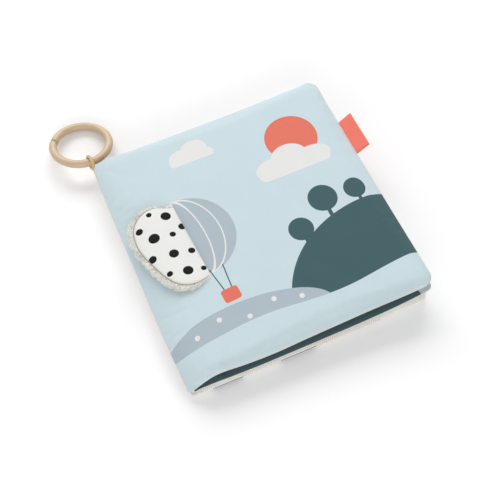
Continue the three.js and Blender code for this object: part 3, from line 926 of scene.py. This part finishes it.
def grow_strands(name, lines, half, materials, thinning=0.8):
    """Lines that thin to their ends, made into one mesh."""
    curve = draw_lines(name, half, lines, thinning=thinning)
    drawn = link(name + "_curve", curve)
    bpy.context.view_layer.update()
    mesh = bpy.data.meshes.new_from_object(
        drawn.evaluated_get(bpy.context.evaluated_depsgraph_get()))
    bpy.data.objects.remove(drawn)
    bpy.data.curves.remove(curve)
    mesh.name = name
    mesh.materials.clear()
    return add_piece(name, mesh, materials)


# %% [markdown]
# The pile's fibres cling together in clumps. Each clump gets a place near the flap's rim and a
# lean of its own, and its fibres start close together, point outwards and droop a little. The
# random numbers are seeded, so the same pile grows each time.

# %% Grow the plush
plush_random = random.Random(5)


def plush_tufts(clumps, strands):
    """Lines for the fibres: those of one clump lean together towards one tip."""
    tufts = []
    uniform, gauss = plush_random.uniform, plush_random.gauss
    for _ in range(clumps):
        along = uniform(0.0, 1.0)
        across = uniform(0.8, 1.0) ** 0.5
        ragged = clamp((0.6 - along) * 5, 0.3, 1)
        clump_aside = uniform(-0.5, 0.5) * ragged
        clump_rise = uniform(-0.4, 0.2) - 0.5 * ragged
        clump_long = uniform(2.6 - 0.5 * ragged, 2.8 + 0.5 * ragged)
        for _ in range(strands):
            at = clamp(along + gauss(0, 0.006))
            reach, root = flap_place(across, at, plush_border)
            _, inner = flap_place(across - 0.15, at, plush_border)
            _, before = flap_place(across, max(at - 0.02, 0), plush_border)
            outward = Vector((root.x - inner.x, root.y - inner.y, 0)).normalized()
            aside = Vector((root.x - before.x, root.y - before.y, 0))
            aside = aside.normalized() if aside.length > 0 else Vector((0, 0, 0))
            tip = root + (outward + aside * clump_aside + Vector((0, 0, clump_rise))) * clump_long
            level = uniform(1.0, 0.95 * plush_top(reach))
            root = root + Vector((0, 0, level)) - outward * uniform(0.2, 2.0)
            tip = tip + Vector((0, 0, level * 0.8)) + Vector([gauss(0, 0.25) for _ in range(3)])
            bow = Vector([gauss(0, 0.35) for _ in range(3)]) + Vector((0, 0, 0.35))
            tufts.append([root, root.lerp(tip, 0.35) + bow * 0.8, root.lerp(tip, 0.7) + bow, tip])
    return tufts


flap_strands = grow_strands("flap_plush_strands", plush_tufts(560, 10), 0.23, (strand_cloth,))

# %% [markdown]
# Where the cotton is sewn to the plush, a thin tan line runs round it: it stands for the cloth's
# raw edge in the seam, and its darker colour is partly painted shade. It is one more curve, laid
# just outside the cotton's rim.

# %% Seam between cloth and plush
def plain_material(name, roughness, colour):
    material, tree, shader = start_material(name, roughness)
    shader.inputs["Base Color"].default_value = tint(colour)
    return material


seam_line, seam_steps, seam_border, seam_rise = [], 120, 0.45, 0.15
for k in range(seam_steps + 1):
    reach, place = flap_place(1.0, clamp(k / seam_steps, 0.004, 0.996), seam_border)
    seam_line.append(place + Vector((0, 0, plush_top(reach) + seam_rise)))
# A tan line, darker than the cloths beside it partly as painted shade.
seam_shade = plain_material("seam_shade", 0.9, "#b3a998")
flap_seam = grow_strands("flap_seam", [seam_line], 0.32, (seam_shade,), thinning=0)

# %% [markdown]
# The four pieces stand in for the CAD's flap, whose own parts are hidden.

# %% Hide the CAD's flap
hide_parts("flap_plush")
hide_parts("flap_cloth")
for piece in (flap_plush, flap_cloth, flap_strands, flap_seam):
    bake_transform(piece)

# %% [markdown]
# ## The ribbon tag
# A short piece of ribbon is folded back on itself and its ends are caught in the seam. A grid
# bent round the fold and given a thickness is all it needs, with a slight wave, because woven
# ribbon never lies dead flat.

# %% Make the tag
tag_width, tag_out, tag_in, tag_up = 37.0, 14.6, 3.4, 44.0
tag_bend, tag_tilt = 0.6, math.radians(38)
tag_wave, wave_turn = 0.35, 2.3
ribbon_half_gap, ribbon_thick = 0.375, 0.4
tag_height = height_at(seam_heights["cover"], leaf_width / 2, tag_up)


def ribbon_material():
    material, tree, shader = start_material("coral_ribbon", 0.6, sheen=0.2)
    place = add_node(tree, "ShaderNodeTexCoord")
    x, y = [field / MM for field in two_fields(tree, place.outputs["Object"])]
    rib = (y * (2 * math.pi / 0.5)).do("SINE")
    fine = noise_on(tree, x, y, 1.4, 3.0)
    # The rib term is painted shade between the ribbon's ribs and painted highlight on them; the
    # noise is the dye's unevenness.
    dye(tree, shader, tint("#ff7d68"), rib * 0.03 + (fine - 0.5) * 0.06 + 1.0)
    raise_surface(tree, shader, rib + fine, 0.05)
    return material


def tag_place(along_ribbon, across):
    """From the lower end, round the fold, to the upper end."""
    straight = tag_out + tag_in - ribbon_half_gap
    bend = math.pi * ribbon_half_gap
    at = (along_ribbon + 1) / 2 * (2 * straight + bend)
    if at < straight:
        out, over = at, -ribbon_half_gap
    elif at < straight + bend:
        angle = (at - straight) / ribbon_half_gap - math.pi / 2
        out, over = straight + ribbon_half_gap * math.cos(angle), ribbon_half_gap * math.sin(angle)
    else:
        out, over = 2 * straight + bend - at, ribbon_half_gap
    beyond = out - tag_in
    turned = tag_tilt * clamp(beyond / (2 * tag_bend))
    risen = max(0.0, beyond - tag_bend)
    over += clamp(beyond / tag_out) ** 2 * tag_wave * math.sin(across * wave_turn)
    x = leaf_width / 2 + min(beyond, tag_bend) + risen * math.cos(tag_tilt)
    z = risen * math.sin(tag_tilt)
    return Vector((x - over * math.sin(turned), tag_up + across * tag_width / 2,
                   tag_height + z + over * math.cos(turned))) * MM


bm = bmesh.new()
for vert in bmesh.ops.create_grid(bm, x_segments=64, y_segments=18, size=1)["verts"]:
    vert.co = tag_place(vert.co.x, vert.co.y)
bmesh.ops.recalc_face_normals(bm, faces=bm.faces)
tag = finish_mesh("ribbon_tag", bm, (ribbon_material(),))
thick = tag.modifiers.new("thick", "SOLIDIFY")
thick.thickness, thick.offset = ribbon_thick * MM, 0
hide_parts("tag_ribbon")
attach(tag, "front_cover")

# %% [markdown]
# ## Stitches
# The leaves are whipped together along the spine: the thread goes round both seams in slanting
# stitches. Each stitch is a short curve, and they all become one mesh per pair of leaves.

# %% Whip the spine
stitch_pitch, stitch_slant, thread_half = 3.6, 1.5, 0.28
stitch_margin, stitch_start, stitch_bow = 7, 1.7, 1.1
thread_material, thread_tree, thread_shader = start_material("sewing_thread", 0.7, sheen=0.2)
dye(thread_tree, thread_shader, tint("#f0ebe2"), noise_inside(thread_tree, 900.0) * 0.2 + 0.9)


def spine_stitches(name, lower, upper, node, body):
    stitches = []
    y = -half_depth + stitch_margin
    while y < half_depth - stitch_margin:
        low, high = [height_at(seam_heights[leaf], spine_x, y) for leaf in (lower, upper)]
        middle, half = (low + high) / 2, (high - low) / 2
        tucked = spine_tuck["middle"] * clamp(0.45 - 0.9 * y / half_depth)
        stitches.append([
            Vector((spine_x + tucked + stitch_start - stitch_bow * math.cos(angle) ** 0.5,
                    y + stitch_slant * share, middle + half * math.sin(angle)))
            for share in (-1, -0.6, -0.2, 0.2, 0.6, 1)
            for angle in (share * math.pi / 2 * 0.98,)])
        y += stitch_pitch
    piece = grow_strands(name, stitches, thread_half, (thread_material,))
    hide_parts(node)
    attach(piece, body)


spine_stitches("stitches_lower", "back", "middle", "spine_thread_lower", "back_leaf")
spine_stitches("stitches_upper", "middle", "cover", "spine_thread_upper", "middle_leaf")

# %% [markdown]
# The back leaf is closed by hand along its foot: a row of tan whip stitches where it was filled,
# and a finer pale row beside it. Their places are found by rays towards the seam, so each thread
# lies on the cloth.

# %% Close the foot
back_tree = surface_of(back_pad)
foot_steps, foot_rise, foot_under = 6, 0.5, 0.4
ray_start = -160                  # well in front of the foot, in millimetres


def foot_stitches(name, first, last, pitch, lean, half, colour):
    stitches, x = [], first
    while x < last:
        middle = seam_at("back", x, -half_depth)
        points = []
        for step in range(foot_steps):
            height = middle - foot_under + step * foot_rise
            aim = Vector((x + lean * (step / (foot_steps - 1) - 0.5), ray_start, height)) * MM
            hit = back_tree.ray_cast(aim, Vector((0, 1, 0)))[0]
            if hit:
                sunk = 0.15 if step in (0, foot_steps - 1) else -0.1
                points.append(hit / MM + Vector((0, sunk, 0)))
        if len(points) > 2:
            stitches.append(points)
        x += pitch
    piece = grow_strands(name, stitches, half, (plain_material(name, 0.8, colour),))
    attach(piece, "back_leaf")


foot_stitches("closing_stitches", -8, 62, 1.9, 1.2, 0.2, "#c9a27c")
foot_stitches("edge_stitches", -100, -10, 1.7, 1.0, 0.18, "#cfc8b8")

# %% [markdown]
# ## The teething ring
# A ring is a small circle spun round an axis. This one is split, so the spin stops short of a
# full turn, its two ends are rounded off by extruding and shrinking their last loops, and they
# spring a little apart.

# %% Place the ring
ring_radius, tube_radius = 25.6, 3.7
ring_aside, ring_beyond = 0.9, 6.6    # where its near side lies from the corner of the book
ring_normal = Vector((math.sin(math.radians(4.0)), math.sin(math.radians(11.5)), 0))
ring_normal.z = math.sqrt(1 - ring_normal.length_squared)
ring_across = Vector((0, 1, 0)).cross(ring_normal).normalized()
ring_away = ring_normal.cross(ring_across)
ring_drop = math.hypot(ring_across.z, ring_away.z) * ring_radius
ring_middle = Vector((spine_x - ring_aside, half_depth + ring_beyond + ring_radius * ring_away.y,
                      tube_radius + ring_drop))
split_angle, half_split, end_round = math.radians(149.5), 0.35 / ring_radius, 1.3
spring_turn, spring_out = math.radians(32), 0.3


# %% [markdown]
# The ring's finish is a satin one with a fine grain that runs one way, so a noise is stretched
# by a Mapping node before it tints and lifts the surface.

# %% Finish of the ring
def ring_material():
    material, tree, shader = start_material("ring_satin", 0.46, specular=0.8)
    place = add_node(tree, "ShaderNodeTexCoord")
    stretched = add_node(tree, "ShaderNodeMapping", {"Vector": place.outputs["Object"],
                                                     "Scale": (60, 300, 300)})
    grain = add_node(tree, "ShaderNodeTexNoise", {"Vector": stretched.outputs[0], "Scale": 1.0,
                                                  "Detail": 4.0})
    grain = Field(tree, grain.outputs[0])
    dye(tree, shader, tint("#cab090"), (grain - 0.5) * 0.16 + 1.0)
    raise_surface(tree, shader, grain, 0.04)
    return material


# %% Spin the ring
def around_ring(angle):
    return (ring_across * math.cos(angle) + ring_away * math.sin(angle)).normalized()


bm = bmesh.new()
end_turn = half_split + end_round / ring_radius
first = split_angle + end_turn
turn = 2 * (math.pi - end_turn)
outward = around_ring(first)
along = ring_normal.cross(outward)
section = bmesh.ops.create_circle(bm, radius=tube_radius, segments=28)["verts"]
place = Matrix((outward, ring_normal, along)).transposed().to_4x4()
place.translation = ring_middle + outward * ring_radius
bmesh.ops.transform(bm, matrix=place, verts=section)
bmesh.ops.spin(bm, geom=list(bm.edges), cent=ring_middle, axis=ring_normal, angle=turn, steps=110)
for end_angle, way in ((first, -1), (first + turn, 1)):
    outward = around_ring(end_angle)
    centre = ring_middle + outward * ring_radius
    ahead = ring_normal.cross(outward) * way
    loop = [e for e in bm.edges if e.is_boundary
            and (e.verts[0].co - centre).length < tube_radius * 1.2]
    for step in range(1, 5):
        angle = step * math.pi / 8
        made = bmesh.ops.extrude_edge_only(bm, edges=loop)["geom"]
        loop = [g for g in made if isinstance(g, bmesh.types.BMEdge)]
        for vert in {v for e in loop for v in e.verts}:
            flat = vert.co - centre
            flat -= ahead * flat.dot(ahead)
            scale = (tube_radius - end_round + end_round * math.cos(angle)) if step < 4 else 0.6
            vert.co = centre + flat.normalized() * scale + ahead * end_round * math.sin(angle)
    bmesh.ops.contextual_create(bm, geom=loop)
for vert in bm.verts:
    flat = vert.co - ring_middle
    angle = math.atan2(flat.dot(ring_away), flat.dot(ring_across)) - first
    angle %= 2 * math.pi
    near_start = max(0.0, 1 - angle / spring_turn)
    near_end = max(0.0, 1 - (2 * math.pi - angle) / spring_turn)
    vert.co += around_ring(angle + first) * spring_out * (near_start ** 2 - near_end ** 2)
bmesh.ops.scale(bm, vec=(MM, MM, MM), verts=bm.verts)
bmesh.ops.remove_doubles(bm, verts=bm.verts, dist=1e-6)
bmesh.ops.recalc_face_normals(bm, faces=bm.faces)
ring = finish_mesh("teething_ring", bm, (ring_material(),))
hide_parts("split_ring")
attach(ring, "ring")

# %% [markdown]
# ## The cord loop
# A golden cord leaves the corner of the book, goes round the ring and back in. It is one curve,
# about five centimetres long, with both ends sewn in.

# %% Lay the cord
cord_half, ring_play, loop_turn = 1.38, 0.5, math.radians(13)
loop_x = spine_x + 0.2
near_side = ring_middle - ring_away * ring_radius
root = Vector((half_depth + 1.6, 9.2))
tube_spot = Vector((near_side.y, near_side.z))
loop_way = (tube_spot - root).normalized()
loop_side = Vector((-loop_way.y, loop_way.x))
loop_half_width = tube_radius + ring_play + cord_half
tip = tube_spot + loop_way * loop_half_width
loop_centre, loop_half = (root + tip) / 2, (tip - root).length / 2


def loop_point(angle):
    to_root = max(0.0, -math.cos(angle))
    aside = math.sin(angle) * loop_half_width * (1 - 0.5 * to_root ** 2)
    spot = (loop_centre + loop_way * math.cos(angle) * loop_half
            + loop_side * aside * math.cos(loop_turn))
    return Vector((loop_x + aside * math.sin(loop_turn), spot.x, spot.y))


def cord_material():
    material, tree, shader = start_material("golden_cord", 0.75, sheen=0.3)
    place = add_node(tree, "ShaderNodeTexCoord")
    along_cord, round_cord = two_fields(tree, place.outputs["UV"])
    strand = ((along_cord * 34 + round_cord * 3) * (2 * math.pi)).do("SINE")
    # Painted shade and highlight: the stripes darken the grooves between the cord's twisted strands
    # and lighten the strands.
    dye(tree, shader, tint("#f2c98d"), strand * 0.09 + 0.95)
    raise_surface(tree, shader, strand, 0.18)
    return material


lead_in, knots = 36, 12
angles = [math.radians(180 + lead_in + k * (360 - 2 * lead_in) / knots) for k in range(knots + 1)]
corner = Vector((loop_x, half_depth, 8.0))
knots_at = ([corner + Vector((5.0, -3.6, 0)), corner + Vector((2.6, -0.9, 0.2))]
            + [loop_point(angle) for angle in angles]
            + [corner + Vector((2.9, -0.9, 1.4)), corner + Vector((5.2, -3.6, 0.8))])
path = [curve_through(knots_at, k / 64) for k in range(65)]
cord_curve = draw_lines("ring_cord", cord_half, [path], resolution=4)
cord_curve.materials.append(cord_material())
cord = link("ring_cord", cord_curve)
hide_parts("ring_loop")
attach(cord, "loop")

# %% [markdown]
# The cord's two ends lie flat between the back and the middle leaf, where a few stitches hold
# them.

# %% Sewn ends of the cord
end_half, end_long = 0.7, 5.4
bm = bmesh.new()
for shift in (-0.6, 0.75):
    made = bmesh.ops.create_cone(bm, cap_ends=True, segments=14, radius1=end_half,
                                 radius2=end_half, depth=end_long)["verts"]
    bmesh.ops.rotate(bm, verts=made, matrix=Matrix.Rotation(math.pi / 2, 3, "X"))
    bmesh.ops.translate(bm, verts=made, vec=(spine_x + 1.4 + shift, half_depth - 2.1, 7.0))
bmesh.ops.scale(bm, vec=(MM, MM, MM), verts=bm.verts)
bmesh.ops.recalc_face_normals(bm, faces=bm.faces)
cord_ends = finish_mesh("cord_ends", bm, (cord_curve.materials[0],))
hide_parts("loop_anchor")
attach(cord_ends, "back_leaf")

# %% [markdown]
# ## Table and light
# The pale table should look white without more light falling on the book. The Light Path node
# can do that: it adds a little brightness only to what the camera sees.

# %% Table
def seen_directly(tree):
    """1 where the camera looks, also by way of a reflection or through glass, and else 0."""
    path = add_node(tree, "ShaderNodeLightPath")
    return within(*[Field(tree, path.outputs[kind]) for kind in
                    ("Is Camera Ray", "Is Glossy Ray", "Is Transmission Ray")])


table_half, table_drop, table_glow = 4, 0.0003, 0.105
bm = bmesh.new()
bmesh.ops.create_grid(bm, x_segments=1, y_segments=1, size=table_half)
bmesh.ops.translate(bm, verts=bm.verts, vec=(0, 0, -table_drop))
table_material, table_tree, table_shader = start_material("table", 0.9, specular=0.1)
table_shader.inputs["Base Color"].default_value = (0.93, 0.93, 0.935, 1)
table_shader.inputs["Emission Color"].default_value = (1, 1, 1, 1)
glow = seen_directly(table_tree) * table_glow
table_tree.links.new(glow.socket, table_shader.inputs["Emission Strength"])
table = finish_mesh("table", bm, (table_material,), smooth=False)

# %% [markdown]
# A wide soft lamp behind the book casts its shadow towards the reader, and a weak one in front
# keeps the near sides from going dark. The world gives the rest of the light evenly.

# %% Lamps and world
def add_lamp(name, place, side, power):
    """A soft lamp that looks at the middle of the book."""
    lamp = bpy.data.lights.new(name, "AREA")
    lamp.shape, lamp.energy = "RECTANGLE", power
    lamp.size, lamp.size_y = side
    holder = link(name, lamp)
    holder.location = place
    holder.rotation_euler = (-Vector(place)).to_track_quat("-Z", "Y").to_euler()


add_lamp("window", (0.6, 2.72, 2.1), (3.4, 1.4), 81)
add_lamp("fill", (-0.9, -2.1, 1.0), (2.4, 1.0), 22)
world = bpy.data.worlds.new("studio")
bpy.context.scene.world = world
world.use_nodes = True
world_tree = world.node_tree
room = world_tree.nodes["Background"]
room.inputs["Color"].default_value = (1, 1, 1, 1)
room_light = 0.52                 # what the room gives the book; the camera sees it as white
strength = seen_directly(world_tree) * (1 - room_light) + room_light
world_tree.links.new(strength.socket, room.inputs["Strength"])
bpy.context.scene.view_settings.view_transform = "Standard"
